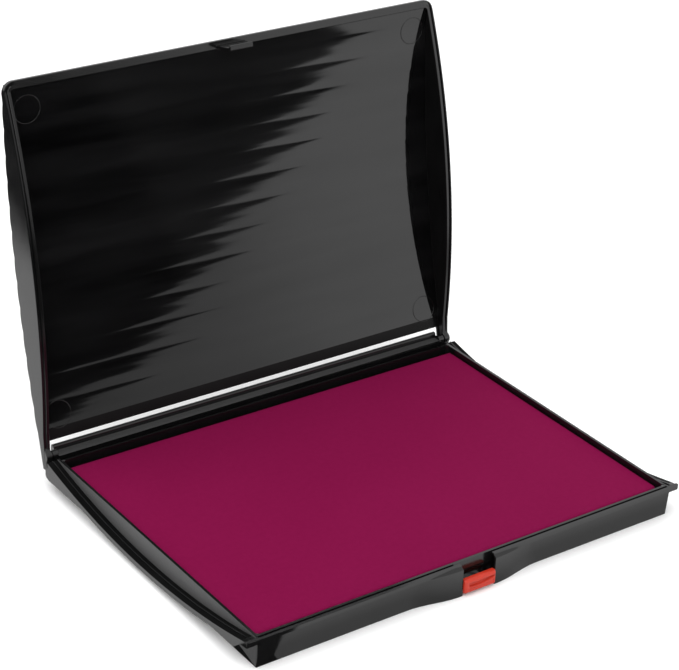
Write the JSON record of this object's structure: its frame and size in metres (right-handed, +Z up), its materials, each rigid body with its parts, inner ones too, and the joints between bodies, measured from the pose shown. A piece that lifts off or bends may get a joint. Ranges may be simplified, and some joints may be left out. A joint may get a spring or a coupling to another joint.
{
  "type": "stamp ink pad",
  "caption": "Large flat stamp ink pad in a black hinged case with a ribbed arched lid, red front latch and cloth-covered felt pad.",
  "frame": {"origin": "centre of the flat underside of the tray, on the surface it stands on", "axes": "+X runs to the right along the hinge, +Y to the back where the hinge is, +Z up"},
  "size_m": [0.2236, 0.1976, 0.1783],
  "materials": {
    "case_black": "fine satin texture",
    "lid_black": "glossy inside, satin outside",
    "pin_black": "satin",
    "latch_red": "semi-gloss",
    "spring_steel": "bright",
    "carrier_plastic": "satin",
    "inked_felt": "dense felt soaked with ink",
    "inked_cloth": "fine woven cloth soaked with ink"
  },
  "bodies": {
    "base": {"base_tray": "case_black", "hinge_pin_left": "pin_black", "hinge_pin_right": "pin_black", "latch_spring": "spring_steel", "pad_carrier": "carrier_plastic", "felt_core": "inked_felt", "cover_cloth": "inked_cloth"},
    "lid": {"lid_shell": "lid_black"},
    "latch": {"latch_tab": "latch_red"}
  },
  "joints": [
    {"name": "lid_hinge", "type": "hinge", "parent": "base", "child": "lid", "pos_m": [0, 0.084, 0.014], "axis": [-1, 0, 0], "range_deg": [-99.4, 0]},
    {"name": "latch_tilt", "type": "hinge", "parent": "base", "child": "latch", "pos_m": [0, -0.0799, 0.0032], "axis": [1, 0, 0], "range_deg": [0, 14], "stiffness_Nm_per_rad": 0.02, "deforming": ["latch_spring"]}
  ]
}
